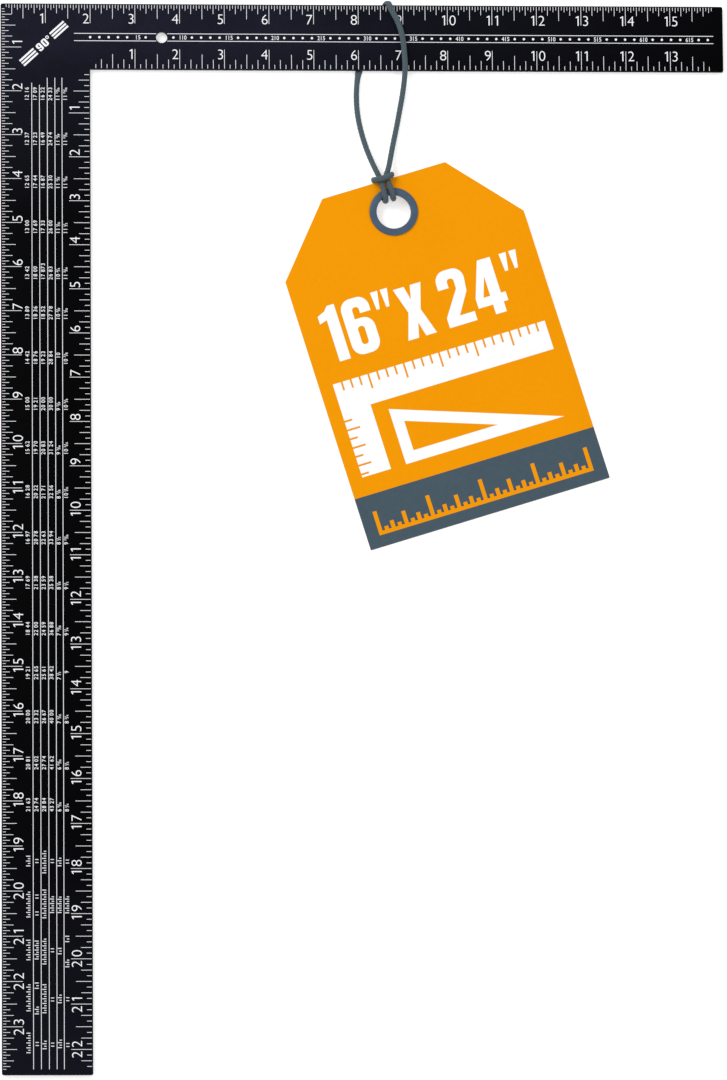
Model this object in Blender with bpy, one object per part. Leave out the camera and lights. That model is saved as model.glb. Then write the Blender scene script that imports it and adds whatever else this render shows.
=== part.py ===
"""Carpenter's framing square, 16 x 24 inch, with its hang tag on a looped cord.

The square is one flat stamped steel plate: a long wide blade along Y and a
shorter, narrower tongue along X, meeting at the heel.  It lies flat, printed
face up.  A cord loop goes round the tongue and is girth-hitched through a
two-part eyelet in the tag, which lies beside it.

Frame: origin at the centre of the plate's bounding box, +X along the tongue
away from the heel, +Y along the blade towards the heel, +Z out of the printed
face.  The table that the square and the tag lie on is at z = TABLE_Z.
Lengths below are in millimetres and are turned into metres by MM.
"""

import math

import bmesh
import bpy
import numpy as np
from mathutils import Matrix, Vector

MM = 0.001
INCH = 25.4

# ---- the square ----
TONGUE_LENGTH = 411.2  # 16 3/16 in over all
BLADE_LENGTH = 611.2  # 24 1/16 in over all
BLADE_WIDTH = 2.0 * INCH
TONGUE_WIDTH = 1.5 * INCH
PLATE_THICKNESS = 2.0
CORNER_RADIUS = 1.0
EDGE_BREAK = 0.2
HANG_HOLE_DIAMETER = 6.35
HANG_HOLE_X = 91.4  # from the blade's outer edge: plumb over the centre of mass
HANG_HOLE_Y = 19.4  # from the tongue's outer edge

# ---- the table, one flattened cord below the plate's back ----
TABLE_Z = -PLATE_THICKNESS / 2 - 1.2
FIT_GAP = 0.3  # between pieces that touch

# ---- the hang tag, in its own axes: u across, v up to the cord, w out of its front ----
TAG_WIDTH = 142.0
TAG_LENGTH = 200.0
TAG_THICKNESS = 0.8
TAG_TOP_WIDTH = 73.2
TAG_SHOULDER = 39.6
EYELET_BELOW_TOP = 18.9
TAG_TURN = 17.2  # degrees about Z
EYELET = (16.73, 185.1, 2.9)  # the eyelet's centre, at the card's mid thickness
EYELET_HOLE_RADIUS = 9.7
EYELET_BARREL_RADIUS = 10.7
EYELET_FLANGE_RADIUS = 13.75
EYELET_FLANGE = 0.9

# ---- the cord ----
CORD_DIAMETER = 3.0
CORD_STEP = 2.6
LIFT_AXIS_Y = 258.5  # where the strands fold up, just off the tongue's inner edge
LIFT_AXIS_Z = 1.15
LIFT_CLEARANCE = 1.8
SWING_AXIS_V = 25.6  # where the tag swings, at the foot of the two strands
SWING_CLEARANCE = 1.6

X0, X1 = -TONGUE_LENGTH / 2, TONGUE_LENGTH / 2
Y0, Y1 = -BLADE_LENGTH / 2, BLADE_LENGTH / 2
TOP, BOTTOM = PLATE_THICKNESS / 2, -PLATE_THICKNESS / 2
TAG_BOTTOM_V = EYELET_BELOW_TOP - TAG_LENGTH


def clear_scene():
    for obj in list(bpy.data.objects):
        bpy.data.objects.remove(obj, do_unlink=True)


def material(name, colour, roughness, metallic=0.0, coat=0.0):
    made = bpy.data.materials.new(name)
    made.use_nodes = True
    shader = made.node_tree.nodes["Principled BSDF"]
    shader.inputs["Base Color"].default_value = (*colour, 1.0)
    shader.inputs["Roughness"].default_value = roughness
    shader.inputs["Metallic"].default_value = metallic
    shader.inputs["Coat Weight"].default_value = coat
    made.diffuse_color = (*colour, 1.0)
    return made


def axis_empty(name, place_mm, parent=None):
    """An empty on a joint's axis, which the pieces of that body are parented to."""
    made = bpy.data.objects.new(name, None)
    made.empty_display_size = 0.02
    bpy.context.scene.collection.objects.link(made)
    made.parent = parent
    at = Vector(place_mm) * MM
    made.location = at - (parent.matrix_world.translation if parent else Vector())
    bpy.context.view_layer.update()
    return made


def add_object(name, bm, mat, parent=None, smooth=False, place=None):
    """Makes a mesh object from bm, whose coordinates are millimetres in the given placement."""
    bmesh.ops.scale(bm, vec=(MM, MM, MM), verts=bm.verts)
    bmesh.ops.recalc_face_normals(bm, faces=bm.faces)
    mesh = bpy.data.meshes.new(name)
    bm.to_mesh(mesh)
    bm.free()
    mesh.materials.append(mat)
    if smooth:
        mesh.shade_smooth()
        mesh.set_sharp_from_angle(angle=math.radians(40))
    obj = bpy.data.objects.new(name, mesh)
    bpy.context.scene.collection.objects.link(obj)
    matrix = place.copy() if place else Matrix()
    matrix.translation = matrix.translation * MM
    if parent:
        obj.parent = parent
        matrix = parent.matrix_world.inverted() @ matrix
    obj.matrix_basis = matrix
    return obj


def prism(outline, low, high):
    """A closed plate over a simple outline, from w = low to w = high."""
    bm = bmesh.new()
    bottom = [bm.verts.new((x, y, low)) for x, y in outline]
    top = [bm.verts.new((x, y, high)) for x, y in outline]
    bm.faces.new(bottom[::-1])
    bm.faces.new(top)
    count = len(outline)
    for i in range(count):
        j = (i + 1) % count
        bm.faces.new((bottom[i], bottom[j], top[j], top[i]))
    return bm


def rounded(corners, radii, steps=4):
    """The outline with each corner turned into an arc; a radius of 0 keeps it sharp."""
    out = []
    count = len(corners)
    for i, (corner, radius) in enumerate(zip(corners, radii)):
        here = np.array(corner, float)
        if radius <= 0:
            out.append(tuple(here))
            continue
        before = np.array(corners[i - 1], float) - here
        after = np.array(corners[(i + 1) % count], float) - here
        before /= np.linalg.norm(before)
        after /= np.linalg.norm(after)
        half = math.acos(float(np.clip(before @ after, -1, 1))) / 2
        reach = radius / math.tan(half)
        centre = here + (before + after) / np.linalg.norm(before + after) * (
            radius / math.sin(half)
        )
        a, b = here + before * reach - centre, here + after * reach - centre
        start = math.atan2(a[1], a[0])
        sweep = math.atan2(a[0] * b[1] - a[1] * b[0], a @ b)
        for k in range(steps + 1):
            turn = start + sweep * k / steps
            out.append(
                (centre[0] + radius * math.cos(turn), centre[1] + radius * math.sin(turn))
            )
    return out


def round_cutter(name, centre, radius, low, high, place=None, segments=48):
    """A hidden cylinder that a Boolean takes away."""
    ring = [
        (
            centre[0] + radius * math.cos(2 * math.pi * k / segments),
            centre[1] + radius * math.sin(2 * math.pi * k / segments),
        )
        for k in range(segments)
    ]
    cutter = add_object(name, prism(ring, low, high), MATERIALS["cutter"], place=place)
    cutter.hide_render = True
    cutter.display_type = "WIRE"
    return cutter


def cut(obj, cutter):
    boolean = obj.modifiers.new("hole", "BOOLEAN")
    boolean.operation = "DIFFERENCE"
    boolean.solver = "EXACT"
    boolean.object = cutter


def turned(profile, segments=64):
    """A solid of revolution about the w axis, from a closed profile of (radius, w) points."""
    bm = bmesh.new()
    rings = []
    for k in range(segments):
        turn = 2 * math.pi * k / segments
        rings.append(
            [bm.verts.new((r * math.cos(turn), r * math.sin(turn), w)) for r, w in profile]
        )
    count = len(profile)
    for k in range(segments):
        here, there = rings[k], rings[(k + 1) % segments]
        for i in range(count):
            j = (i + 1) % count
            bm.faces.new((here[i], there[i], there[j], here[j]))
    return bm


def tag_place():
    """Where the tag's own axes lie: turned about Z, and tipped so that its foot rests on the table."""
    rise = EYELET[2] - (TABLE_Z + 0.05 + TAG_THICKNESS / 2)
    tip = math.asin(rise / -TAG_BOTTOM_V)
    return (
        Matrix.Translation(EYELET)
        @ Matrix.Rotation(math.radians(TAG_TURN), 4, "Z")
        @ Matrix.Rotation(tip, 4, "X")
    )


# ---- the cord's route: one closed loop ----
def hitch_half(side):
    """From the middle of the bight, round in front of the strands, over the tag's top edge, down behind the card to the eyelet, through it and up the front, on one side.  Each entry is (point, thickness, width, flattening direction); thickness and width are shares of the diameter."""
    place = tag_place()

    def on_tag(u, v, w):
        return tuple(place @ Vector((side * u, v, w)))

    up = (0.0, 0.0, 1.0)
    across = tuple(Matrix.Rotation(math.radians(TAG_TURN), 3, "Z") @ Vector((1.0, 0.0, 0.0)))
    return [
        (on_tag(1.9, 19.75, 4.54), 0.82, 1.08, up),
        (on_tag(3.75, 19.95, 4.0), 0.9, 1.0, up),
        (on_tag(5.0, 20.3, 2.9), 0.92, 1.0, across),
        (on_tag(5.5, 20.65, 1.4), 0.85, 1.05, across),
        (on_tag(5.45, 20.75, -0.2), 0.85, 1.05, across),
        (on_tag(5.1, 20.3, -1.7), 0.92, 1.0, across),
        (on_tag(4.4, 18.8, -2.7), 1.0, 1.0, up),
        (on_tag(3.7, 16.4, -3.25), 1.0, 1.0, up),
        (on_tag(3.05, 13.4, -3.5), 1.0, 1.0, up),
        (on_tag(2.6, 10.1, -3.42), 1.0, 1.0, up),
        (on_tag(2.45, 8.0, -2.6), 1.0, 1.0, up),
        (on_tag(2.35, 7.4, -1.0), 1.0, 1.0, up),
        (on_tag(2.3, 7.4, 1.0), 1.0, 1.0, up),
        (on_tag(2.25, 8.0, 2.6), 1.0, 1.0, up),
        (on_tag(2.2, 10.1, 3.42), 1.0, 1.0, up),
        (on_tag(2.15, 12.8, 3.5), 1.0, 1.0, up),
        (on_tag(2.05, 15.6, 2.9), 1.0, 1.0, up),
        (on_tag(1.95, 18.0, 2.15), 0.86, 1.04, up),
        (on_tag(1.85, 20.2, 1.68), 0.8, 1.06, up),
    ]


def cord_route():
    """The loop's control points, from the middle of the bight down the left side, round the tongue and back up the right side."""
    up, out = (0.0, 0.0, 1.0), (0.0, 1.0, 0.0)
    middle = tag_place() @ Vector((0.0, 19.65, 4.54))
    left_strand = [
        ((7.7, 207.0, 4.25), 1.0, 1.0, up),
        ((3.7, 216.6, 1.7), 1.0, 1.0, up),
        ((-0.6, 230.0, -0.3), 1.0, 1.0, up),
        ((-2.9, 241.0, -0.7), 1.0, 1.0, up),
        ((-3.7, 252.0, -0.7), 1.0, 1.0, up),
        ((-3.2, 261.0, -1.05), 0.7, 1.3, up),
        ((-1.9, 267.5, -1.65), 0.36, 1.8, up),
        ((0.2, 273.0, -1.75), 0.3, 1.9, up),
        ((6.3, 287.0, -1.75), 0.3, 1.9, up),
        ((11.6, 299.5, -1.75), 0.3, 1.9, up),
        ((13.3, 304.2, -1.74), 0.31, 1.8, up),
    ]
    outer_edge = [
        ((13.9, 306.3, -1.45), 0.42, 1.5, (0.0, 0.7071, -0.7071)),
        ((14.2, 307.05, -0.3), 0.72, 1.3, out),
        ((14.4, 307.05, 0.7), 0.75, 1.25, out),
        ((14.9, 306.4, 2.05), 0.78, 1.2, (0.0, 0.7071, 0.7071)),
        ((15.6, 304.6, 2.75), 0.9, 1.1, up),
    ]
    right_strand = [
        ((19.3, 297.1, 2.85), 1.0, 1.0, up),
        ((22.4, 287.8, 2.85), 1.0, 1.0, up),
        ((23.7, 276.5, 2.85), 1.0, 1.0, up),
        ((24.0, 268.5, 2.8), 1.0, 1.0, up),
        ((23.6, 262.5, 1.95), 1.0, 1.0, up),
        ((22.6, 254.5, 0.35), 1.0, 1.0, up),
        ((21.0, 245.5, -0.6), 1.0, 1.0, up),
        ((18.9, 234.5, -0.7), 1.0, 1.0, up),
        ((16.6, 223.5, 0.4), 1.0, 1.0, up),
        ((15.0, 215.2, 1.95), 1.0, 1.0, up),
        ((13.2, 207.9, 4.05), 1.0, 1.0, up),
    ]
    bight = [(tuple(middle), 0.82, 1.08, up)]
    return (
        bight
        + hitch_half(-1)
        + left_strand
        + outer_edge
        + right_strand
        + hitch_half(1)[::-1]
    )


def closed_spline(points):
    """A cubic spline through points and back to the first, with even curvature across them. Returns a function of the chord length, and the knots."""
    points = np.array(points, float)
    count = len(points)
    chord = np.linalg.norm(np.roll(points, -1, axis=0) - points, axis=1)
    knots = np.concatenate([[0.0], np.cumsum(chord)])
    system = np.zeros((count, count))
    right = np.zeros((count, points.shape[1]))
    for i in range(count):
        before, after = chord[i - 1], chord[i]
        system[i, i - 1] += before
        system[i, i] += 2 * (before + after)
        system[i, (i + 1) % count] += after
        right[i] = 6 * (
            (points[(i + 1) % count] - points[i]) / after
            - (points[i] - points[i - 1]) / before
        )
    second = np.linalg.solve(system, right)

    def at(s):
        s = s % knots[-1]
        i = min(int(np.searchsorted(knots, s, side="right")) - 1, count - 1)
        j = (i + 1) % count
        h = chord[i]
        a, b = knots[i + 1] - s, s - knots[i]
        return (
            second[i] * a**3 / (6 * h)
            + second[j] * b**3 / (6 * h)
            + (points[i] / h - second[i] * h / 6) * a
            + (points[j] / h - second[j] * h / 6) * b
        )

    return at, knots


class CordLoop:
    """The whole loop, sampled evenly by length, with what flattens it along the way."""

    def __init__(self):
        route = cord_route()
        at, knots = closed_spline([r[0] for r in route])
        fine = np.array([at(s) for s in np.linspace(0, knots[-1], 3001)[:-1]])
        step = np.linalg.norm(np.roll(fine, -1, axis=0) - fine, axis=1)
        along = np.concatenate([[0.0], np.cumsum(step)])
        self.length = along[-1]
        self.count = 1600
        share = np.linspace(0, self.length, self.count, endpoint=False)
        ring = np.vstack([fine, fine[:1]])
        self.points = np.stack(
            [np.interp(share, along, ring[:, k]) for k in range(3)], axis=1
        )
        ahead = np.roll(self.points, -1, axis=0) - np.roll(self.points, 1, axis=0)
        self.tangents = ahead / np.linalg.norm(ahead, axis=1, keepdims=True)
        knot_length = np.interp(
            knots, np.linspace(0, knots[-1], 3001), np.concatenate([along])
        )
        shapes = []
        for (point, thick, wide, normal), s in zip(route, knot_length):
            tangent = self.tangents[int(round(s / self.length * self.count)) % self.count]
            normal = np.array(normal) - np.dot(normal, tangent) * tangent
            size = np.linalg.norm(normal)
            if size < 0.2:
                shapes.append(np.eye(3))
                continue
            normal /= size
            across = np.cross(tangent, normal)
            shapes.append(
                np.eye(3)
                + (thick - 1) * np.outer(normal, normal)
                + (wide - 1) * np.outer(across, across)
            )
        shapes.append(shapes[0])
        flat = np.array(shapes).reshape(len(shapes), 9)
        self.shapes = np.stack(
            [np.interp(share, knot_length, flat[:, k]) for k in range(9)], axis=1
        ).reshape(-1, 3, 3)

    def stretch(self, first, last, step):
        """Points, tangents and section shapes from sample first to sample last, going round."""
        span = (last - first) % self.count
        pieces = max(2, int(round(span * self.length / self.count / step)))
        index = [
            (first + int(round(span * k / pieces))) % self.count
            for k in range(pieces + 1)
        ]
        return self.points[index], self.tangents[index], self.shapes[index]


def cord_tube(loop, first, last, sides=8):
    """A closed tube along one stretch of the loop, with flat end caps."""
    points, tangents, shapes = loop.stretch(first, last, CORD_STEP)
    bm = bmesh.new()
    rings = []
    side = np.cross(tangents[0], (0.0, 0.0, 1.0))
    if np.linalg.norm(side) < 0.1:
        side = np.cross(tangents[0], (1.0, 0.0, 0.0))
    for point, tangent, shape in zip(points, tangents, shapes):
        side = side - np.dot(side, tangent) * tangent
        side /= np.linalg.norm(side)
        other = np.cross(tangent, side)
        ring = []
        for k in range(sides):
            turn = 2 * math.pi * (k + 0.5) / sides
            offset = (
                (side * math.cos(turn) + other * math.sin(turn)) * CORD_DIAMETER / 2
            )
            ring.append(bm.verts.new(tuple(point + shape @ offset)))
        rings.append(ring)
    bm.faces.new(rings[0][::-1])
    bm.faces.new(rings[-1])
    for here, there in zip(rings, rings[1:]):
        for k in range(sides):
            j = (k + 1) % sides
            bm.faces.new((here[k], here[j], there[j], there[k]))
    return bm


def crossing(loop, test, low, high):
    """The first sample between two shares of the loop where test changes sign."""
    first, last = int(low * loop.count), int(high * loop.count)
    values = [test(loop.points[i]) for i in range(first, last)]
    for k in range(1, len(values)):
        if (values[k - 1] < 0) != (values[k] < 0):
            return first + k
    raise ValueError("the cord doesn't cross there")


clear_scene()
bpy.context.scene.unit_settings.system = "METRIC"
bpy.context.scene.unit_settings.scale_length = 1.0

MATERIALS = {
    "cutter": material("cutter", (0.5, 0.5, 0.5), 0.5),
    "steel": material("black_coated_steel", (0.011, 0.011, 0.018), 0.45, 0.1, 0.2),
    "card": material("orange_card", (0.9, 0.319, 0.0), 0.55),
    "eyelet_front": material("slate_moulding_front", (0.072, 0.109, 0.138), 0.3),
    "eyelet_back": material("slate_moulding_back", (0.065, 0.1, 0.128), 0.35),
    "cord_wrap": material("slate_cord_wrap", (0.075, 0.112, 0.138), 0.85),
    "cord_left": material("slate_cord_left", (0.07, 0.106, 0.132), 0.85),
    "cord_right": material("slate_cord_right", (0.07, 0.106, 0.132), 0.85),
    "cord_hitch": material("slate_cord_hitch", (0.078, 0.116, 0.143), 0.85),
}

# The plate: blade down the left, tongue across the top, sharp inside corner.
inner_x, inner_y = X0 + BLADE_WIDTH, Y1 - TONGUE_WIDTH
corners = [
    (X0, Y1),
    (X0, Y0),
    (inner_x, Y0),
    (inner_x, inner_y),
    (X1, inner_y),
    (X1, Y1),
]
radii = [CORNER_RADIUS, CORNER_RADIUS, CORNER_RADIUS, 0.0, CORNER_RADIUS, CORNER_RADIUS]
plate = add_object(
    "square_body",
    prism(rounded(corners, radii), BOTTOM, TOP),
    MATERIALS["steel"],
)
cut(
    plate,
    round_cutter(
        "hang_hole_cutter",
        (X0 + HANG_HOLE_X, Y1 - HANG_HOLE_Y),
        HANG_HOLE_DIAMETER / 2,
        BOTTOM - 2,
        TOP + 2,
    ),
)
edges = plate.modifiers.new("edge_break", "BEVEL")
edges.width = EDGE_BREAK * MM
edges.segments = 1
edges.limit_method = "ANGLE"
edges.angle_limit = math.radians(60)

# The joints' axes.
turn = Matrix.Rotation(math.radians(TAG_TURN), 3, "Z")
swing_at = turn @ Vector((0.0, SWING_AXIS_V, 0.0)) + Vector(EYELET)
slide_axis = axis_empty("loop_slide_axis", (0.0, Y1 - TONGUE_WIDTH / 2, 0.0))
lift_axis = axis_empty("loop_lift_axis", (0.0, LIFT_AXIS_Y, LIFT_AXIS_Z), slide_axis)
swing_axis = axis_empty("tag_swing_axis", (swing_at.x, swing_at.y, 2.0), lift_axis)

# The tag card: a rectangle with two cut shoulders.
half, top_half = TAG_WIDTH / 2, TAG_TOP_WIDTH / 2
card_outline = rounded(
    [
        (-top_half, EYELET_BELOW_TOP),
        (-half, EYELET_BELOW_TOP - TAG_SHOULDER),
        (-half, TAG_BOTTOM_V),
        (half, TAG_BOTTOM_V),
        (half, EYELET_BELOW_TOP - TAG_SHOULDER),
        (top_half, EYELET_BELOW_TOP),
    ],
    [0.6] * 6,
    steps=2,
)
on_tag = tag_place()
card = add_object(
    "tag_card",
    prism(card_outline, -TAG_THICKNESS / 2, TAG_THICKNESS / 2),
    MATERIALS["card"],
    parent=swing_axis,
    place=on_tag,
)
cut(
    card,
    round_cutter(
        "eyelet_seat_cutter",
        (0.0, 0.0),
        EYELET_BARREL_RADIUS + FIT_GAP,
        -3,
        3,
        place=on_tag,
        segments=64,
    ),
)

# The eyelet: a flanged barrel from the front, snapped into a plain ring behind.
face = TAG_THICKNESS / 2 + FIT_GAP
outer = face + EYELET_FLANGE
add_object(
    "eyelet_front",
    turned(
        [
            (EYELET_HOLE_RADIUS, -outer),
            (EYELET_BARREL_RADIUS, -outer),
            (EYELET_BARREL_RADIUS, face),
            (EYELET_FLANGE_RADIUS, face),
            (EYELET_FLANGE_RADIUS, outer - 0.4),
            (EYELET_FLANGE_RADIUS - 0.4, outer),
            (EYELET_HOLE_RADIUS + 0.4, outer),
            (EYELET_HOLE_RADIUS, outer - 0.4),
        ]
    ),
    MATERIALS["eyelet_front"],
    parent=swing_axis,
    smooth=True,
    place=on_tag,
)
add_object(
    "eyelet_back",
    turned(
        [
            (EYELET_BARREL_RADIUS + FIT_GAP, -outer),
            (EYELET_FLANGE_RADIUS - 0.4, -outer),
            (EYELET_FLANGE_RADIUS, -outer + 0.4),
            (EYELET_FLANGE_RADIUS, -face),
            (EYELET_BARREL_RADIUS + FIT_GAP, -face),
        ]
    ),
    MATERIALS["eyelet_back"],
    parent=swing_axis,
    smooth=True,
    place=on_tag,
)

# The cord: one loop, parted where it bends at the tongue's edge and above the tag.
loop = CordLoop()


def beyond_lift(point):
    return point[1] - LIFT_AXIS_Y


def beyond_swing(point):
    return (turn.transposed() @ (Vector(point) - Vector(EYELET))).y - SWING_AXIS_V


def samples(length):
    return int(round(length / loop.length * loop.count))


swing_left = crossing(loop, beyond_swing, 0.1, 0.5)
lift_left = crossing(loop, beyond_lift, 0.1, 0.5)
lift_right = crossing(loop, beyond_lift, 0.5, 0.9)
swing_right = crossing(loop, beyond_swing, 0.5, 0.9)
lift_gap, swing_gap = samples(LIFT_CLEARANCE), samples(SWING_CLEARANCE)

add_object(
    "cord_wrap",
    cord_tube(loop, lift_left + lift_gap, lift_right - lift_gap, sides=12),
    MATERIALS["cord_wrap"],
    parent=slide_axis,
    smooth=True,
)
add_object(
    "cord_strand_left",
    cord_tube(loop, swing_left + swing_gap, lift_left - lift_gap),
    MATERIALS["cord_left"],
    parent=lift_axis,
    smooth=True,
)
add_object(
    "cord_strand_right",
    cord_tube(loop, lift_right + lift_gap, swing_right - swing_gap),
    MATERIALS["cord_right"],
    parent=lift_axis,
    smooth=True,
)
add_object(
    "cord_hitch",
    cord_tube(loop, swing_right + swing_gap, swing_left - swing_gap),
    MATERIALS["cord_hitch"],
    parent=swing_axis,
    smooth=True,
)
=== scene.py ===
"""The looks of the framing square and its hang tag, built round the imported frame.

Everything below is in millimetres in the frame's own axes and is turned into metres when a mesh is made.
"""

import math

import bmesh
import bpy
import numpy as np
from mathutils import Matrix, Vector


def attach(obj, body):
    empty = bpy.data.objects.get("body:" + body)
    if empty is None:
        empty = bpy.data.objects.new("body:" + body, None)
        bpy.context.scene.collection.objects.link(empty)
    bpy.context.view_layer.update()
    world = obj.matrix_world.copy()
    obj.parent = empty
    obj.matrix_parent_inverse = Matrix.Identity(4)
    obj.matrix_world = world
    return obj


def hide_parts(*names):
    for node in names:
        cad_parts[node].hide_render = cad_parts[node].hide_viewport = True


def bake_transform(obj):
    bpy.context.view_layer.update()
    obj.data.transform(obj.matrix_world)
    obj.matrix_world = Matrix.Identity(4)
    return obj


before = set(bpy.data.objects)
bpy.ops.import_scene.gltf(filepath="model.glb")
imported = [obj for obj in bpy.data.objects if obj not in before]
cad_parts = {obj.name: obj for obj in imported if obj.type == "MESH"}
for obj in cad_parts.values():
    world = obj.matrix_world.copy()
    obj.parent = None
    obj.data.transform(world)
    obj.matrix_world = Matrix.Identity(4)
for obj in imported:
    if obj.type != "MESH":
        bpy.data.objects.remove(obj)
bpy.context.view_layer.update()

MM = 0.001
INCH = 25.4
SCENE = bpy.context.scene

# ---------------------------------------------------------------- camera
camera_data = bpy.data.cameras.new("camera")
camera = bpy.data.objects.new("camera", camera_data)
SCENE.collection.objects.link(camera)
camera_data.sensor_fit = "AUTO"
camera_data.sensor_width = 36.0
camera_data.lens = 308.24
camera_data.clip_start = 0.05
camera_data.clip_end = 60.0
camera.matrix_world = Matrix(
    (
        (0.99839213, -0.00169753, -0.05665928, -0.2967437),
        (-0.00802752, 0.98524334, -0.1709711, -0.8932721),
        (0.05611341, 0.17115104, 0.98364557, 5.1218368),
        (0.0, 0.0, 0.0, 1.0),
    )
)
SCENE.camera = camera

# ---------------------------------------------------------------- sizes, as in the design
TONGUE_LENGTH = 411.2
BLADE_LENGTH = 611.2
BLADE_WIDTH = 2.0 * INCH
TONGUE_WIDTH = 1.5 * INCH
PLATE_THICKNESS = 2.0
X0, X1 = -TONGUE_LENGTH / 2, TONGUE_LENGTH / 2
Y0, Y1 = -BLADE_LENGTH / 2, BLADE_LENGTH / 2
INNER_X, INNER_Y = X0 + BLADE_WIDTH, Y1 - TONGUE_WIDTH
TOP, BOTTOM = PLATE_THICKNESS / 2, -PLATE_THICKNESS / 2
CORNER_RADIUS = 1.0
EDGE_RADIUS = 0.25
HOLE_X, HOLE_Y = X0 + 91.4, Y1 - 19.4
HOLE_RADIUS = 3.175
TABLE_Z = BOTTOM - 1.2

TAG_WIDTH = 142.0
TAG_LENGTH = 200.0
TAG_THICKNESS = 0.8
TAG_TOP_WIDTH = 73.2
TAG_SHOULDER = 39.6
EYELET_BELOW_TOP = 18.9
TAG_BOTTOM_V = EYELET_BELOW_TOP - TAG_LENGTH
TAG_TURN = 17.2
EYELET = (16.73, 185.1, 2.9)
EYELET_HOLE_RADIUS = 9.7
EYELET_BARREL_RADIUS = 10.7
EYELET_FLANGE_RADIUS = 13.75
EYELET_FLANGE = 0.9
FIT_GAP = 0.3
BAND_HEIGHT = 30.5

CORD_DIAMETER = 3.0


def tag_place():
    """Where the tag's own axes lie: u across, v up to the cord, w out of its front."""
    rise = EYELET[2] - (TABLE_Z + 0.05 + TAG_THICKNESS / 2)
    tip = math.asin(rise / -TAG_BOTTOM_V)
    return (
        Matrix.Translation(EYELET)
        @ Matrix.Rotation(math.radians(TAG_TURN), 4, "Z")
        @ Matrix.Rotation(tip, 4, "X")
    )


ON_TAG = tag_place()
TAG_FLAT_TURN = Matrix.Rotation(math.radians(TAG_TURN), 3, "Z")

# ---------------------------------------------------------------- materials


class Nodes:
    """A material's node tree, with short ways to add what this script uses."""

    def __init__(self, name, colour, roughness, metallic=0.0):
        self.material = bpy.data.materials.new(name)
        self.material.use_nodes = True
        self.tree = self.material.node_tree
        self.shader = self.tree.nodes["Principled BSDF"]
        self.set("Base Color", (*colour, 1.0))
        self.set("Roughness", roughness)
        self.set("Metallic", metallic)
        self.material.diffuse_color = (*colour, 1.0)
        self.where = self.tree.nodes.new("ShaderNodeTexCoord").outputs["Object"]

    def set(self, name, value):
        self.shader.inputs[name].default_value = value

    def link(self, source, target):
        self.tree.links.new(source, target)

    def stretched(self, source, scale):
        node = self.tree.nodes.new("ShaderNodeMapping")
        node.inputs["Scale"].default_value = scale
        self.link(source, node.inputs["Vector"])
        return node.outputs["Vector"]

    def noise(self, scale, detail=2.0, roughness=0.5, vector=None):
        node = self.tree.nodes.new("ShaderNodeTexNoise")
        node.inputs["Scale"].default_value = scale
        node.inputs["Detail"].default_value = detail
        node.inputs["Roughness"].default_value = roughness
        self.link(vector or self.where, node.inputs["Vector"])
        return node.outputs["Fac"]

    def attribute(self, name, output="Fac"):
        node = self.tree.nodes.new("ShaderNodeAttribute")
        node.attribute_name = name
        return node.outputs[output]

    def ramp(self, source, stops):
        node = self.tree.nodes.new("ShaderNodeValToRGB")
        elements = node.color_ramp.elements
        while len(elements) < len(stops):
            elements.new(0.5)
        for element, (at, colour) in zip(elements, stops):
            element.position = at
            if not hasattr(colour, "__len__"):
                colour = (colour, colour, colour)
            element.color = (*colour, 1.0)
        self.link(source, node.inputs["Fac"])
        return node.outputs["Color"]

    def math(self, operation, a, b):
        node = self.tree.nodes.new("ShaderNodeMath")
        node.operation = operation
        for slot, value in zip(node.inputs, (a, b)):
            if isinstance(value, (int, float)):
                slot.default_value = value
            else:
                self.link(value, slot)
        return node.outputs["Value"]

    def mix(self, share, a, b, blend="MIX"):
        node = self.tree.nodes.new("ShaderNodeMix")
        node.data_type = "RGBA"
        node.blend_type = blend
        for index, value in ((0, share), (6, a), (7, b)):
            slot = node.inputs[index]
            if isinstance(value, (int, float)):
                slot.default_value = value
            elif isinstance(value, tuple):
                slot.default_value = (*value, 1.0)
            else:
                self.link(value, slot)
        return node.outputs[2]

    def bump(self, height, distance, strength=1.0):
        node = self.tree.nodes.new("ShaderNodeBump")
        node.inputs["Distance"].default_value = distance
        node.inputs["Strength"].default_value = strength
        self.link(height, node.inputs["Height"])
        self.link(node.outputs["Normal"], self.shader.inputs["Normal"])


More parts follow.
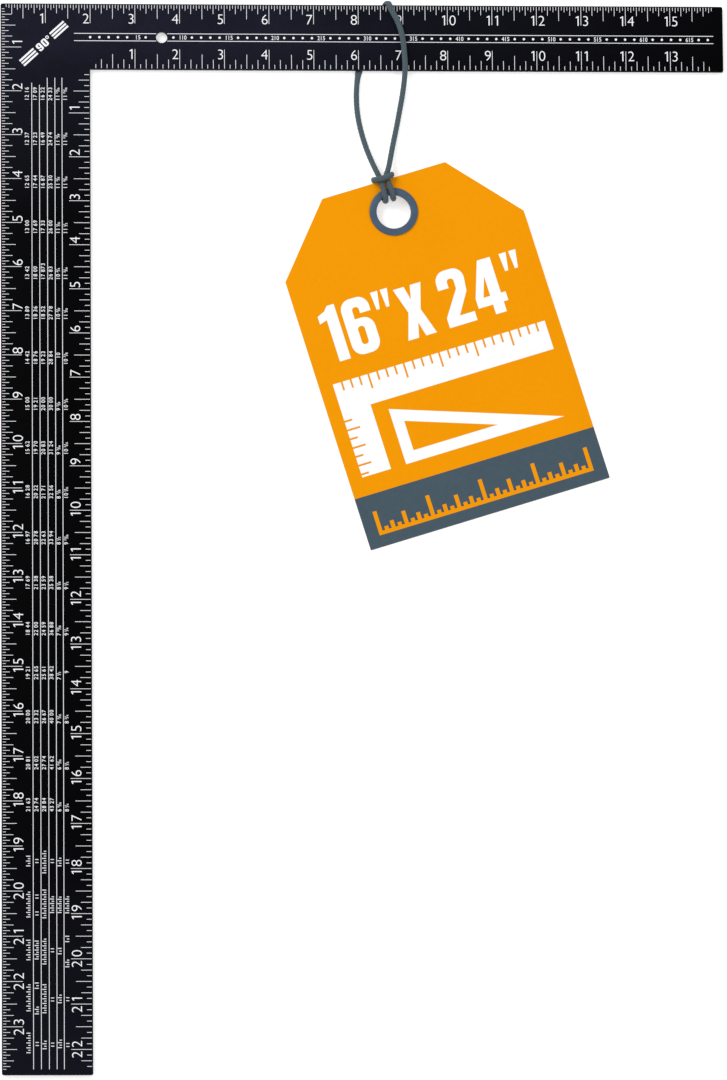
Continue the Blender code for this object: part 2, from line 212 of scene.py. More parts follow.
def make_coating():
    """Satin black oxide-like paint over steel: fine grain, faint blooms, rubbed edges, and a painted sheen that makes
    the heel brighter and bluer.
    """
    n = Nodes("black_coating", (0.011, 0.011, 0.018), 0.45)
    n.set("IOR", 1.5)
    n.set("Specular IOR Level", 0.03)
    place = n.tree.nodes.new("ShaderNodeSeparateXYZ")
    n.link(n.where, place.inputs["Vector"])
    # painted sheen: the base colour is brighter and bluer round the heel, darker along both legs, and a little paler at
    # the blade's far end
    along_tongue = n.math("MULTIPLY", n.math("ADD", place.outputs["X"], -X0 * MM), 1 / (TONGUE_LENGTH * MM))
    along_blade = n.math("MULTIPLY", n.math("ADD", place.outputs["Y"], -Y1 * MM), -1 / (BLADE_LENGTH * MM))
    tint = n.mix(
        1.0,
        n.ramp(along_tongue, [(0.0, 1.0), (0.33, 1.0), (0.62, 0.38), (1.0, 0.06)]),
        n.ramp(
            along_blade,
            [(0.0, 1.0), (0.035, 0.95), (0.062, 0.68), (0.1, 0.5), (0.2, 0.08), (0.35, 0.03), (0.78, 0.04), (1.0, 0.5)],
        ),
        "MULTIPLY",
    )
    # the painted sheen's brightest, bluest colour, at the heel
    tint = n.mix(1.0, tint, (0.0108, 0.0108, 0.0215), "MULTIPLY")
    bloom = n.ramp(n.noise(14.0, 5.0, 0.62), [(0.35, 0.78), (0.7, 1.22)])
    tint = n.mix(1.0, tint, bloom, "MULTIPLY")
    grain = n.ramp(n.noise(1500.0, 2.0, 0.6), [(0.3, 0.82), (0.72, 1.2)])
    tint = n.mix(1.0, tint, grain, "MULTIPLY")
    rub = n.math("MULTIPLY", n.attribute("edge"), n.ramp(n.noise(260.0, 4.0, 0.7), [(0.46, 0.04), (0.68, 0.6)]))
    tint = n.mix(rub, tint, (0.06, 0.061, 0.067))
    n.link(tint, n.shader.inputs["Base Color"])
    smear = n.noise(55.0, 4.0, 0.6)
    n.link(n.ramp(smear, [(0.25, 0.38), (0.8, 0.52)]), n.shader.inputs["Roughness"])
    n.bump(n.noise(2600.0, 2.0, 0.55), 0.000012, 0.55)
    return n.material


def make_paint(name, colour, roughness=0.5):
    """Filled marks: a matt enamel, slightly grainy."""
    n = Nodes(name, colour, roughness)
    n.set("Specular IOR Level", 0.3)
    n.link(n.ramp(n.noise(900.0, 3.0), [(0.3, roughness - 0.08), (0.7, roughness + 0.1)]), n.shader.inputs["Roughness"])
    n.bump(n.noise(3200.0, 3.0), 0.00001, 0.5)
    return n.material


def make_print(name, colour, spread=0.05, roughness=0.42):
    """Ink on smooth coated card: faint mottle, the card's tooth under a thin varnish."""
    n = Nodes(name, colour, roughness)
    n.set("Specular IOR Level", 0.04)
    mottle = n.ramp(n.noise(420.0, 4.0, 0.65), [(0.3, 1.0 - spread), (0.7, 1.0)])
    cloud = n.ramp(n.noise(22.0, 3.0, 0.5), [(0.3, 1.0 - spread * 0.6), (0.7, 1.0)])
    tint = n.mix(1.0, colour, n.mix(1.0, mottle, cloud, "MULTIPLY"), "MULTIPLY")
    n.link(tint, n.shader.inputs["Base Color"])
    n.link(n.ramp(n.noise(130.0, 4.0, 0.6), [(0.3, roughness - 0.06), (0.75, roughness + 0.12)]), n.shader.inputs["Roughness"])
    tooth = n.math("ADD", n.noise(1500.0, 4.0, 0.62), n.math("MULTIPLY", n.noise(240.0, 2.0), 0.8))
    n.bump(tooth, 0.000014, 0.35)
    return n.material


def make_board():
    """The card's cut edge and core: short grey-white fibres lying in the sheet."""
    n = Nodes("card_board", (0.72, 0.66, 0.55), 0.85)
    n.set("Specular IOR Level", 0.2)
    fibres = n.noise(900.0, 4.0, 0.7, n.stretched(n.where, (1.0, 1.0, 5.0)))
    n.link(n.ramp(fibres, [(0.25, (0.5, 0.43, 0.32)), (0.75, (0.8, 0.75, 0.66))]), n.shader.inputs["Base Color"])
    n.link(n.ramp(fibres, [(0.2, 0.78), (0.8, 0.95)]), n.shader.inputs["Roughness"])
    n.bump(fibres, 0.00005, 0.7)
    return n.material


def make_moulding(name, colour):
    """Semi-gloss moulded plastic: a trace of flow, faint handling marks."""
    n = Nodes(name, colour, 0.32)
    n.set("Specular IOR Level", 0.3)
    n.link(
        n.mix(1.0, colour, n.ramp(n.noise(160.0, 3.0, 0.5), [(0.3, 0.9), (0.7, 1.08)]), "MULTIPLY"),
        n.shader.inputs["Base Color"],
    )
    scuffs = n.noise(500.0, 4.0, 0.7, n.stretched(n.where, (1.0, 4.0, 1.0)))
    n.link(n.ramp(scuffs, [(0.3, 0.26), (0.75, 0.46)]), n.shader.inputs["Roughness"])
    n.bump(n.noise(700.0, 3.0, 0.5), 0.00002, 0.35)
    return n.material


def make_braid(name, colour):
    """Matt polyester braid: painted shade between the yarns and a faint painted highlight on their crowns, fine
    filaments along them.
    """
    n = Nodes(name, colour, 0.8)
    n.set("Specular IOR Level", 0.22)
    n.set("Sheen Weight", 0.25)
    n.set("Sheen Roughness", 0.45)
    n.set("Sheen Tint", (0.62, 0.7, 0.76, 1.0))
    along = n.attribute("cord_place", "Vector")
    # painted shade and highlight: the base colour darkens in the valleys between the yarns and lightens a little on
    # their crowns
    painted_yarn_shade = n.ramp(n.attribute("relief"), [(0.0, 0.42), (0.45, 0.86), (1.0, 1.12)])
    filaments = n.noise(3.6, 3.0, 0.7, n.stretched(along, (1.0, 1.0, 0.25)))
    streaks = n.ramp(filaments, [(0.25, 0.84), (0.75, 1.14)])
    n.link(
        n.mix(1.0, colour, n.mix(1.0, painted_yarn_shade, streaks, "MULTIPLY"), "MULTIPLY"),
        n.shader.inputs["Base Color"],
    )
    n.link(n.ramp(filaments, [(0.2, 0.68), (0.8, 0.92)]), n.shader.inputs["Roughness"])
    n.bump(filaments, 0.00006, 0.6)
    return n.material


ORANGE = (0.855, 0.303, 0.0)
SLATE = (0.066, 0.1, 0.128)
COATING = make_coating()
WHITE_PAINT = make_paint("white_filled_marks", (0.86, 0.87, 0.9))
GREY_PAINT = make_paint("soft_white_marks", (0.8, 0.81, 0.84))
ORANGE_PRINT = make_print("orange_print", ORANGE, 0.035)
SLATE_PRINT = make_print("slate_print", SLATE, 0.1)
WHITE_PRINT = make_print("white_print", (0.93, 0.93, 0.93), 0.02)
BOARD = make_board()
RING_FRONT = make_moulding("slate_moulding", (0.052, 0.09, 0.142))
RING_BACK = make_moulding("slate_moulding_back", (0.05, 0.086, 0.135))
BRAID = make_braid("slate_braid", (0.07, 0.104, 0.122))

# ---------------------------------------------------------------- mesh helpers


def make_piece(name, points, faces, material, body, smooth=None, place=None, data=None):
    """One closed mesh object from points in millimetres, riding on body."""
    points = np.asarray(points, float).reshape(-1, 3)
    if place is not None:
        turn = np.array(place.to_3x3())
        points = points @ turn.T + np.array(place.translation)
    mesh = bpy.data.meshes.new(name)
    mesh.from_pydata((points * MM).tolist(), [], [tuple(f) for f in faces])
    mesh.update()
    bm = bmesh.new()
    bm.from_mesh(mesh)
    bmesh.ops.recalc_face_normals(bm, faces=bm.faces)
    bm.to_mesh(mesh)
    bm.free()
    for key, (kind, values) in (data or {}).items():
        layer = mesh.attributes.new(key, kind, "POINT")
        field = "vector" if kind == "FLOAT_VECTOR" else "value"
        layer.data.foreach_set(field, np.asarray(values, np.float32).ravel())
    if smooth:
        mesh.shade_smooth()
        mesh.set_sharp_from_angle(angle=math.radians(smooth))
    mesh.materials.append(material)
    obj = bpy.data.objects.new(name, mesh)
    SCENE.collection.objects.link(obj)
    if body:
        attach(obj, body)
    return obj


def rounded(corners, radii, steps=8):
    """The outline with each corner turned into an arc.  A radius of 0 keeps steps + 1 equal points, so that every inset has as many."""
    out = []
    count = len(corners)
    for i, (corner, radius) in enumerate(zip(corners, radii)):
        here = np.array(corner, float)
        if radius <= 0:
            out.append(tuple(here))
            continue
        before = np.array(corners[i - 1], float) - here
        after = np.array(corners[(i + 1) % count], float) - here
        before /= np.linalg.norm(before)
        after /= np.linalg.norm(after)
        half = math.acos(float(np.clip(before @ after, -1, 1))) / 2
        reach = radius / math.tan(half)
        centre = here + (before + after) / np.linalg.norm(before + after) * (radius / math.sin(half))
        a, b = here + before * reach - centre, here + after * reach - centre
        start = math.atan2(a[1], a[0])
        sweep = math.atan2(a[0] * b[1] - a[1] * b[0], a @ b)
        for k in range(steps + 1):
            turn = start + sweep * k / steps
            out.append((centre[0] + radius * math.cos(turn), centre[1] + radius * math.sin(turn)))
    return out


def inset(corners, by):
    """The corners of a simple outline, each edge moved inwards.  Works for outlines listed either way round."""
    pts = np.array(corners, float)
    area = 0.5 * np.sum(pts[:, 0] * np.roll(pts[:, 1], -1) - np.roll(pts[:, 0], -1) * pts[:, 1])
    side = 1.0 if area > 0 else -1.0
    out = []
    for i in range(len(pts)):
        a = pts[i] - pts[i - 1]
        b = pts[(i + 1) % len(pts)] - pts[i]
        a /= np.linalg.norm(a)
        b /= np.linalg.norm(b)
        na, nb = np.array((-a[1], a[0])) * side, np.array((-b[1], b[0])) * side
        out.append(tuple(pts[i] + (na + nb) * by / (1 + na @ nb)))
    return out


def circle(centre, radius, count):
    return [
        (centre[0] + radius * math.cos(2 * math.pi * k / count), centre[1] + radius * math.sin(2 * math.pi * k / count))
        for k in range(count)
    ]


def slab(corners, radii, low, high, edge, holes=(), steps=8, round_steps=4, hole_sides=64):
    """A plate with rounded corners, rounded edges and round holes with broken edges.  Returns points, faces and an edge
    mark for each point: 1 when the edges are rounded, 0 when they are not.
    """
    profile = []
    for k in range(round_steps + 1):
        turn = math.pi / 2 * k / round_steps
        profile.append((edge * (1 - math.cos(turn)), low + edge * (1 - math.sin(turn))))
    profile = profile[::-1] + [
        (d, high - (z - low)) for d, z in profile
    ] if edge > 0 else [(0.0, low), (0.0, high)]
    loops = [
        [
            [(x, y, z) for x, y in rounded(inset(corners, d), [max(r - d, 0.02) if r > 0 else 0 for r in radii], steps)]
            for d, z in profile
        ]
    ]
    for centre, radius in holes:
        loops.append([[(x, y, z) for x, y in circle(centre, radius + d, hole_sides)] for d, z in profile])
    bm = bmesh.new()
    worn = bm.verts.layers.float.new("edge")
    caps = ([], [])
    for rings in loops:
        made = [[bm.verts.new(p) for p in ring] for ring in rings]
        for depth, ring in enumerate(made):
            for v in ring:
                v[worn] = 0.0 if edge <= 0 else 1.0
        for here, there in zip(made, made[1:]):
            for i in range(len(here)):
                j = (i + 1) % len(here)
                bm.faces.new((here[i], here[j], there[j], there[i]))
        for cap, ring in ((caps[0], made[0]), (caps[1], made[-1])):
            for i in range(len(ring)):
                cap.append(bm.edges.get((ring[i], ring[(i + 1) % len(ring)])))
    for cap in caps:
        bmesh.ops.triangle_fill(bm, use_beauty=True, use_dissolve=False, edges=cap)
    bm.verts.index_update()
    points = [tuple(v.co) for v in bm.verts]
    faces = [[v.index for v in f.verts] for f in bm.faces]
    edges = [v[worn] for v in bm.verts]
    bm.free()
    return points, faces, edges


class Marks:
    """Many thin closed prisms that are printed on a face: bars, dots and figures."""

    def __init__(self, low, high, turned=False):
        self.low, self.high = low, high
        self.turned = turned
        self.points, self.faces = [], []

    def flat(self, outline, faces=None):
        """A prism over a flat shape.  faces gives its triangles; without it the outline is one face."""
        count = len(outline)
        faces = faces or [tuple(range(count))]
        start = len(self.points)
        for z in (self.low, self.high):
            for x, y in outline:
                self.points.append((-x, y, -z) if self.turned else (x, y, z))
        edges = {}
        for f in faces:
            for i in range(len(f)):
                a, b = f[i], f[(i + 1) % len(f)]
                edges[(a, b)] = edges.get((a, b), 0) + 1
        for f in faces:
            self.faces.append([start + count + i for i in f])
            self.faces.append([start + i for i in reversed(f)])
        for a, b in edges:
            if (b, a) not in edges:
                self.faces.append([start + a, start + b, start + count + b, start + count + a])

    def bar(self, a, b, width):
        a, b = np.array(a, float), np.array(b, float)
        along = (b - a) / np.linalg.norm(b - a)
        side = np.array((-along[1], along[0])) * width / 2
        self.flat([tuple(a - side), tuple(b - side), tuple(b + side), tuple(a + side)])

    def dot(self, centre, radius, sides=14):
        self.flat(circle(centre, radius, sides))

    def figures(self, text, start, height, right, up, pitch=None, gap=0.15, fine=True, stretch=1.0, kind="plain"):
        """Figures from start along right.  pitch sets them in equal cells; otherwise they are spaced by gap, a share of the height.  Returns the length used."""
        start, right, up = (np.array(v, float) for v in (start, right, up))
        at = 0.0
        for ch in text:
            if ch == " ":
                at += height * (0.42 if pitch is None else 0.34)
                continue
            outline, faces, width = figure(ch, fine, kind)
            width *= height * stretch
            shift = at if pitch is None else at + (pitch - width) / 2
            spots = [
                tuple(start + right * (shift + x * height * stretch) + up * (y * height)) for x, y in outline
            ]
            self.flat(spots, faces)
            at += (width + gap * height) if pitch is None else pitch
        return at - (gap * height if pitch is None else 0)

    def piece(self, name, material, body="square", slot="coated_steel", place=None):
        return make_piece(name, self.points, self.faces, material, body, place=place)


FIGURES = {}


def corner(centre, radius, first, last, steps=7):
    """An arc's points, by degrees."""
    return [
        (
            centre[0] + radius * math.cos(math.radians(first + (last - first) * k / steps)),
            centre[1] + radius * math.sin(math.radians(first + (last - first) * k / steps)),
        )
        for k in range(steps + 1)
    ]


def cut_up(*rings):
    """The triangles of a flat shape, from its outline and any holes in it."""
    from mathutils.geometry import tessellate_polygon

    triangles = tessellate_polygon([[Vector((x, y, 0.0)) for x, y in ring] for ring in rings])
    flat = [p for ring in rings for p in ring]
    faces = []
    for a, b, c in triangles:
        area = (flat[b][0] - flat[a][0]) * (flat[c][1] - flat[a][1]) - (flat[c][0] - flat[a][0]) * (flat[b][1] - flat[a][1])
        if abs(area) > 1e-9:
            faces.append((a, b, c) if area > 0 else (a, c, b))
    return faces


def bold_figure(ch):
    """The heavy, narrow figures of a price tag: outline, triangles and width, 1 high."""
    w, s, t = 0.54, 0.205, 0.165
    r, q = 0.2, 0.055

    def bowl(low, high):
        """A closed counter between the stems."""
        return (
            corner((s + q, low + q), q, 180, 270)
            + corner((w - s - q, low + q), q, 270, 360)
            + corner((w - s - q, high - q), q, 0, 90)
            + corner((s + q, high - q), q, 90, 180)
        )

    def block():
        return (
            corner((r, r), r, 180, 270)
            + corner((w - r, r), r, 270, 360)
            + corner((w - r, 1 - r), r, 0, 90)
            + corner((r, 1 - r), r, 90, 180)
        )

    holes = []
    if ch == "0":
        outline, holes = block(), [bowl(t, 1 - t)]
    elif ch in "69":
        outline = (
            corner((r, r), r, 180, 270)
            + corner((w - r, r), r, 270, 360)
            + corner((w - r, 0.63 - r), r, 0, 90)
            + [(s, 0.63)]
            + corner((s + q, 1 - t - q), q, 180, 90)
            + corner((w - s - q, 1 - t - q), q, 90, 0)
            + [(w - s, 0.71), (w, 0.71)]
            + corner((w - r, 1 - r), r, 0, 90)
            + corner((r, 1 - r), r, 90, 180)
        )
        holes = [bowl(t, 0.49)]
        if ch == "9":
            outline = [(w - x, 1 - y) for x, y in outline]
            holes = [[(w - x, 1 - y) for x, y in h] for h in holes]
    elif ch == "1":
        w = 0.36
        outline = [(w - 0.215, 0.0), (w, 0.0), (w, 1.0), (w - 0.14, 1.0), (w - 0.21, 0.92), (0.0, 0.86), (0.0, 0.72), (w - 0.215, 0.76)]
    elif ch == "2":
        outline = (
            [(0.0, 0.0), (w, 0.0), (w, t), (0.25, t), (w - 0.03, 0.55)]
            + corner((w - r, 1 - r), r, 0, 90)
            + corner((r, 1 - r), r, 90, 180)
            + [(0.0, 0.68), (s, 0.68)]
            + corner((s + q, 1 - t - q), q, 180, 90)
            + corner((w - s - q, 1 - t - q), q, 90, 0)
            + [(w - s, 0.64), (0.0, 0.18)]
        )
    elif ch == "4":
        w = 0.58
        outline = [
            (0.28, 0.0), (0.49, 0.0), (0.49, 0.18), (w, 0.18), (w, 0.34), (0.49, 0.34), (0.49, 1.0), (0.24, 1.0), (0.0, 0.36), (0.0, 0.18), (0.28, 0.18),
        ]
        holes = [[(0.15, 0.34), (0.28, 0.34), (0.28, 0.7)]]
    elif ch == "x":
        w = 0.56
        outline = [
            (0.0, 0.0), (0.21, 0.0), (0.28, 0.26), (0.35, 0.0), (w, 0.0), (0.4, 0.47),
            (0.55, 0.93), (0.34, 0.93), (0.28, 0.68), (0.22, 0.93), (0.01, 0.93), (0.16, 0.47),
        ]
    else:
        g, w = 0.13, 0.33
        parts = [[(x + 0.025, 0.68), (x + 0.085, 0.68), (x + 0.14, 1.0), (x, 1.0)] for x in (0.0, 0.19)]
        return ([p for part in parts for p in part], [(0, 1, 2, 3), (4, 5, 6, 7)], w)
    rings = [outline] + holes
    return ([p for ring in rings for p in ring], cut_up(*rings), w)


def figure(ch, fine, kind):
    """One figure's flat outline and triangles, 1 high with its left side at 0, and its width."""
    key = (ch, fine, kind)
    if key in FIGURES:
        return FIGURES[key]
    if kind == "bold" or ch == '"':
        out = bold_figure(ch)
    elif ch == "1" and kind == "plain":
        w, f, left = 0.108, 0.18, 0.2
        outline = [(f, 0.0), (f + w, 0.0), (f + w, 1.0), (f + w * 0.3, 1.0), (0.0, 0.88), (0.0, 0.88 - w), (f, 1.0 - w * 1.35)]
        outline = [(x + left, y) for x, y in outline]
        out = (outline, [(0, 1, 2, 3, 6), (3, 4, 5, 6)], left + f + w + 0.1)
    else:
        curve = bpy.data.curves.new("figure", "FONT")
        curve.body = ch
        curve.size = 1.0
        curve.resolution_u = 8 if fine else 3
        spread = -0.014 if kind == "plain" else 0.006
        curve.offset = spread
        holder = bpy.data.objects.new("figure", curve)
        SCENE.collection.objects.link(holder)
        bpy.context.view_layer.update()
        mesh = bpy.data.meshes.new_from_object(holder.evaluated_get(bpy.context.evaluated_depsgraph_get()))
        bm = bmesh.new()
        bm.from_mesh(mesh)
        bmesh.ops.remove_doubles(bm, verts=bm.verts, dist=1e-5)
        bmesh.ops.dissolve_degenerate(bm, dist=1e-4, edges=bm.edges)
        bmesh.ops.triangulate(bm, faces=bm.faces)
        for f in bm.faces:
            if f.normal.z < 0:
                f.normal_flip()
        bm.verts.index_update()
        pts = np.array([v.co[:2] for v in bm.verts])
        faces = [tuple(v.index for v in f.verts) for f in bm.faces]
        bm.free()
        bpy.data.objects.remove(holder)
        bpy.data.curves.remove(curve)
        bpy.data.meshes.remove(mesh)
        low, high = -0.009 - spread, 0.691 + spread
        if ch == "/":
            low, high = pts[:, 1].min(), pts[:, 1].max()
        pts[:, 1] = (pts[:, 1] - low) / (high - low)
        pts[:, 0] = (pts[:, 0] - pts[:, 0].min()) / (high - low)
        out = ([tuple(p) for p in pts], faces, float(pts[:, 0].max()))
    FIGURES[key] = out
    return out


# ---------------------------------------------------------------- the cord


def hitch_half(side):
    """From the middle of the bight, round in front of the strands, over the tag's top edge, down behind the card to the eyelet, through it and up the front, on one side."""
    def on_tag(u, v, w):
        return tuple(ON_TAG @ Vector((side * u, v, w)))

    up = (0.0, 0.0, 1.0)
    across = tuple(TAG_FLAT_TURN @ Vector((1.0, 0.0, 0.0)))
    return [
        (on_tag(1.9, 19.75, 4.54), 0.82, 1.08, up),
        (on_tag(3.75, 19.95, 4.0), 0.9, 1.0, up),
        (on_tag(5.0, 20.3, 2.9), 0.92, 1.0, across),
        (on_tag(5.5, 20.65, 1.4), 0.85, 1.05, across),
        (on_tag(5.45, 20.75, -0.2), 0.85, 1.05, across),
        (on_tag(5.1, 20.3, -1.7), 0.92, 1.0, across),
        (on_tag(4.4, 18.8, -2.7), 1.0, 1.0, up),
        (on_tag(3.7, 16.4, -3.25), 1.0, 1.0, up),
        (on_tag(3.05, 13.4, -3.5), 1.0, 1.0, up),
        (on_tag(2.6, 10.1, -3.42), 1.0, 1.0, up),
        (on_tag(2.45, 8.0, -2.6), 1.0, 1.0, up),
        (on_tag(2.35, 7.4, -1.0), 1.0, 1.0, up),
        (on_tag(2.3, 7.4, 1.0), 1.0, 1.0, up),
        (on_tag(2.25, 8.0, 2.6), 1.0, 1.0, up),
        (on_tag(2.2, 10.1, 3.42), 1.0, 1.0, up),
        (on_tag(2.15, 12.8, 3.5), 1.0, 1.0, up),
        (on_tag(2.05, 15.6, 2.9), 1.0, 1.0, up),
        (on_tag(1.95, 18.0, 2.15), 0.86, 1.04, up),
        (on_tag(1.85, 20.2, 1.68), 0.8, 1.06, up),
    ]


def cord_route():
    """The loop's control points, each with its thickness, width and flattening direction: from the middle of the bight down the left side, round the tongue and back up the right side."""
    up, out = (0.0, 0.0, 1.0), (0.0, 1.0, 0.0)
    middle = ON_TAG @ Vector((0.0, 19.65, 4.54))
    left_strand = [
        ((7.7, 207.0, 4.25), 1.0, 1.0, up),
        ((3.7, 216.6, 1.7), 1.0, 1.0, up),
        ((-0.6, 230.0, -0.3), 1.0, 1.0, up),
        ((-2.9, 241.0, -0.7), 1.0, 1.0, up),
        ((-3.7, 252.0, -0.7), 1.0, 1.0, up),
        ((-3.35, 259.6, -0.78), 0.96, 1.0, up),
        ((-2.75, 264.2, -1.2), 0.68, 1.1, up),
        ((-1.85, 268.3, -1.62), 0.36, 1.38, up),
        ((0.1, 273.0, -1.66), 0.34, 1.45, up),
        ((6.3, 287.0, -1.66), 0.34, 1.45, up),
        ((11.6, 299.5, -1.66), 0.34, 1.45, up),
        ((13.3, 304.2, -1.66), 0.35, 1.4, up),
    ]
    outer_edge = [
        ((13.9, 306.3, -1.45), 0.42, 1.5, (0.0, 0.7071, -0.7071)),
        ((14.2, 307.05, -0.3), 0.72, 1.3, out),
        ((14.4, 307.05, 0.7), 0.75, 1.25, out),
        ((14.9, 306.4, 2.05), 0.78, 1.2, (0.0, 0.7071, 0.7071)),
        ((15.6, 304.6, 2.62), 0.92, 1.08, up),
    ]
    right_strand = [
        ((19.3, 297.1, 2.64), 1.0, 1.0, up),
        ((22.4, 287.8, 2.62), 1.0, 1.0, up),
        ((23.7, 276.5, 2.62), 1.0, 1.0, up),
        ((24.0, 268.5, 2.62), 1.0, 1.0, up),
        ((23.6, 262.5, 1.95), 1.0, 1.0, up),
        ((22.6, 254.5, 0.35), 1.0, 1.0, up),
        ((21.0, 245.5, -0.6), 1.0, 1.0, up),
        ((18.9, 234.5, -0.7), 1.0, 1.0, up),
        ((16.6, 223.5, 0.4), 1.0, 1.0, up),
        ((15.0, 215.2, 1.95), 1.0, 1.0, up),
        ((13.2, 207.9, 4.05), 1.0, 1.0, up),
    ]
    bight = [(tuple(middle), 0.82, 1.08, up)]
    return bight + hitch_half(-1) + left_strand + outer_edge + right_strand + hitch_half(1)[::-1]


def closed_spline(points):
    """A cubic spline through points and back to the first, with even curvature across them."""
    points = np.array(points, float)
    count = len(points)
    chord = np.linalg.norm(np.roll(points, -1, axis=0) - points, axis=1)
    knots = np.concatenate([[0.0], np.cumsum(chord)])
    system = np.zeros((count, count))
    right = np.zeros((count, points.shape[1]))
    for i in range(count):
        before, after = chord[i - 1], chord[i]
        system[i, i - 1] += before
        system[i, i] += 2 * (before + after)
        system[i, (i + 1) % count] += after
        right[i] = 6 * ((points[(i + 1) % count] - points[i]) / after - (points[i] - points[i - 1]) / before)
    second = np.linalg.solve(system, right)

    def at(s):
        s = s % knots[-1]
        i = min(int(np.searchsorted(knots, s, side="right")) - 1, count - 1)
        j = (i + 1) % count
        h = chord[i]
        a, b = knots[i + 1] - s, s - knots[i]
        return (
            second[i] * a**3 / (6 * h)
            + second[j] * b**3 / (6 * h)
            + (points[i] / h - second[i] * h / 6) * a
            + (points[j] / h - second[j] * h / 6) * b
        )

    return at, knots


class CordLoop:
    """The whole loop as one closed run of rings, with the plait's relief on them."""

    CARRIERS = 6
    SIDES = 36

    def __init__(self, step):
        route = cord_route()
        at, knots = closed_spline([r[0] for r in route])
        fine = np.array([at(s) for s in np.linspace(0, knots[-1], 4001)[:-1]])
        gaps = np.linalg.norm(np.roll(fine, -1, axis=0) - fine, axis=1)
        along = np.concatenate([[0.0], np.cumsum(gaps)])
        self.length = along[-1]
        self.count = int(round(self.length / step))
        self.share = np.linspace(0, self.length, self.count, endpoint=False)
        ring = np.vstack([fine, fine[:1]])
        self.points = np.stack([np.interp(self.share, along, ring[:, k]) for k in range(3)], axis=1)
        ahead = np.roll(self.points, -1, axis=0) - np.roll(self.points, 1, axis=0)
        self.tangents = ahead / np.linalg.norm(ahead, axis=1, keepdims=True)
        knot_length = np.interp(knots, np.linspace(0, knots[-1], 4001), along)
        shapes = []
        for (point, thick, wide, normal), s in zip(route, knot_length):
            tangent = self.tangents[int(round(s / self.length * self.count)) % self.count]
            normal = np.array(normal) - np.dot(normal, tangent) * tangent
            size = np.linalg.norm(normal)
            if size < 0.2:
                shapes.append(np.eye(3))
                continue
            normal /= size
            across = np.cross(tangent, normal)
            shapes.append(np.eye(3) + (thick - 1) * np.outer(normal, normal) + (wide - 1) * np.outer(across, across))
        shapes.append(shapes[0])
        flat = np.array(shapes).reshape(len(shapes), 9)
        self.shapes = np.stack(
            [np.interp(self.share, knot_length, flat[:, k]) for k in range(9)], axis=1
        ).reshape(-1, 3, 3)
        self.rings()

    def rings(self):
        sides = np.zeros((self.count, 3))
        side = np.cross(self.tangents[0], (0.0, 0.0, 1.0))
        for i in range(self.count + 1):
            tangent = self.tangents[i % self.count]
            side = side - np.dot(side, tangent) * tangent
            side /= np.linalg.norm(side)
            if i < self.count:
                sides[i] = side
        others = np.cross(self.tangents, sides)
        twist = math.atan2(np.dot(side, others[0]), np.dot(side, sides[0]))
        ease = -twist * self.share / self.length
        c, s = np.cos(ease)[:, None], np.sin(ease)[:, None]
        first, second = sides * c + others * s, others * c - sides * s
        turns = 2 * np.pi * np.arange(self.SIDES) / self.SIDES
        cells = round(self.length / 2.3)
        a = self.CARRIERS * turns[None, :] / (2 * np.pi) + (self.share * cells / self.length)[:, None]
        b = self.CARRIERS * turns[None, :] / (2 * np.pi) - (self.share * cells / self.length)[:, None]
        fa, fb = a - np.floor(a), b - np.floor(b)
        over = (np.floor(a) + np.floor(b)).astype(int) % 2 == 0
        hump = lambda t: np.sin(np.pi * t) ** 0.7
        relief = np.where(over, hump(fa) * (0.45 + 0.55 * np.sin(np.pi * fb)), hump(fb) * (0.45 + 0.55 * np.sin(np.pi * fa)))
        radius = CORD_DIAMETER / 2 + 0.1 - 0.2 * (1 - relief)
        offset = (
            first[:, None, :] * np.cos(turns)[None, :, None] + second[:, None, :] * np.sin(turns)[None, :, None]
        ) * radius[:, :, None]
        offset = np.einsum("nij,nkj->nki", self.shapes, offset)
        self.surface = self.points[:, None, :] + offset
        # what it lies on presses it flat
        z = self.surface[:, :, 2]
        z[:] = np.maximum(z, TABLE_Z)
        y = self.surface[:, :, 1]
        on_tongue = (y > INNER_Y - 0.4) & (y < Y1 + 0.3)
        under = on_tongue & (self.points[:, None, 2] < -0.9)
        above = on_tongue & (self.points[:, None, 2] > 1.9)
        z[under] = np.minimum(z[under], BOTTOM - 0.04)
        z[above] = np.maximum(z[above], TOP + 0.035)
        self.relief = relief
        self.place = np.stack(
            [
                np.cos(turns)[None, :] * 1.5 + 0 * self.share[:, None],
                np.sin(turns)[None, :] * 1.5 + 0 * self.share[:, None],
                self.share[:, None] + 0 * turns[None, :],
            ],
            axis=2,
        )

    def find(self, test, low, high):
        first, last = int(low * self.count), int(high * self.count)
        values = [test(self.points[i]) for i in range(first, last)]
        for k in range(1, len(values)):
            if (values[k - 1] < 0) != (values[k] < 0):
                return first + k
        raise ValueError("the cord doesn't cross there")

    def piece(self, name, first, last):
        """The tube from ring first to ring last, going round, and its centreline."""
        index = [(first + k) % self.count for k in range((last - first) % self.count + 1)]
        rings = self.surface[index]
        rows, sides = rings.shape[:2]
        points = rings.reshape(-1, 3)
        faces = [tuple(range(sides))[::-1], tuple((rows - 1) * sides + k for k in range(sides))]
        for r in range(rows - 1):
            for k in range(sides):
                j = (k + 1) % sides
                faces.append((r * sides + k, r * sides + j, (r + 1) * sides + j, (r + 1) * sides + k))
        data = {
            "relief": ("FLOAT", self.relief[index].ravel()),
            "cord_place": ("FLOAT_VECTOR", self.place[index].reshape(-1, 3)),
        }
        made = make_piece(name, points, faces, BRAID, None, smooth=50, data=data)
        line = self.points[index]
        length = float(np.linalg.norm(np.diff(line, axis=0), axis=1).sum())
        return made, line, length


loop = CordLoop(0.26)
SEAM_Y = 235.0
seam_left = loop.find(lambda p: p[1] - SEAM_Y, 0.1, 0.5)
seam_right = loop.find(lambda p: p[1] - SEAM_Y, 0.5, 0.9)


